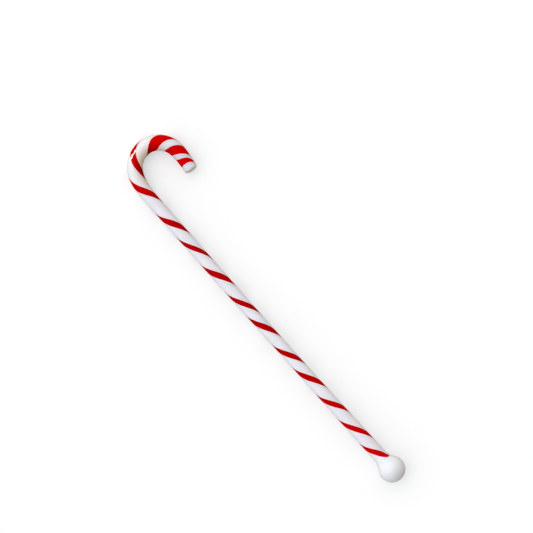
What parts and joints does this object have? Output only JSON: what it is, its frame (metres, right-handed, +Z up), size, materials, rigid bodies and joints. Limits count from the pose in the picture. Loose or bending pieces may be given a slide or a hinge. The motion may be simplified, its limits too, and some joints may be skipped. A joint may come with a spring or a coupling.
{
  "type": "candy cane swizzle stick",
  "caption": "Slim glass drink stirrer shaped like a candy cane, with a hooked crook at one end and a solid ball at the other.",
  "frame": {"origin": "middle of the underside of the whole stick as it lies, on the surface it rests on", "axes": "+X along the shaft towards the ball, +Y towards the side that the crook opens to, +Z up"},
  "size_m": [0.1952, 0.0334, 0.0122],
  "materials": {
    "opal_white_glass": "fire-polished opaque white glass",
    "red_glass": "fire-polished opaque red glass"
  },
  "bodies": {
    "root": {"swizzle_stick": "opal_white_glass"}
  },
  "joints": []
}
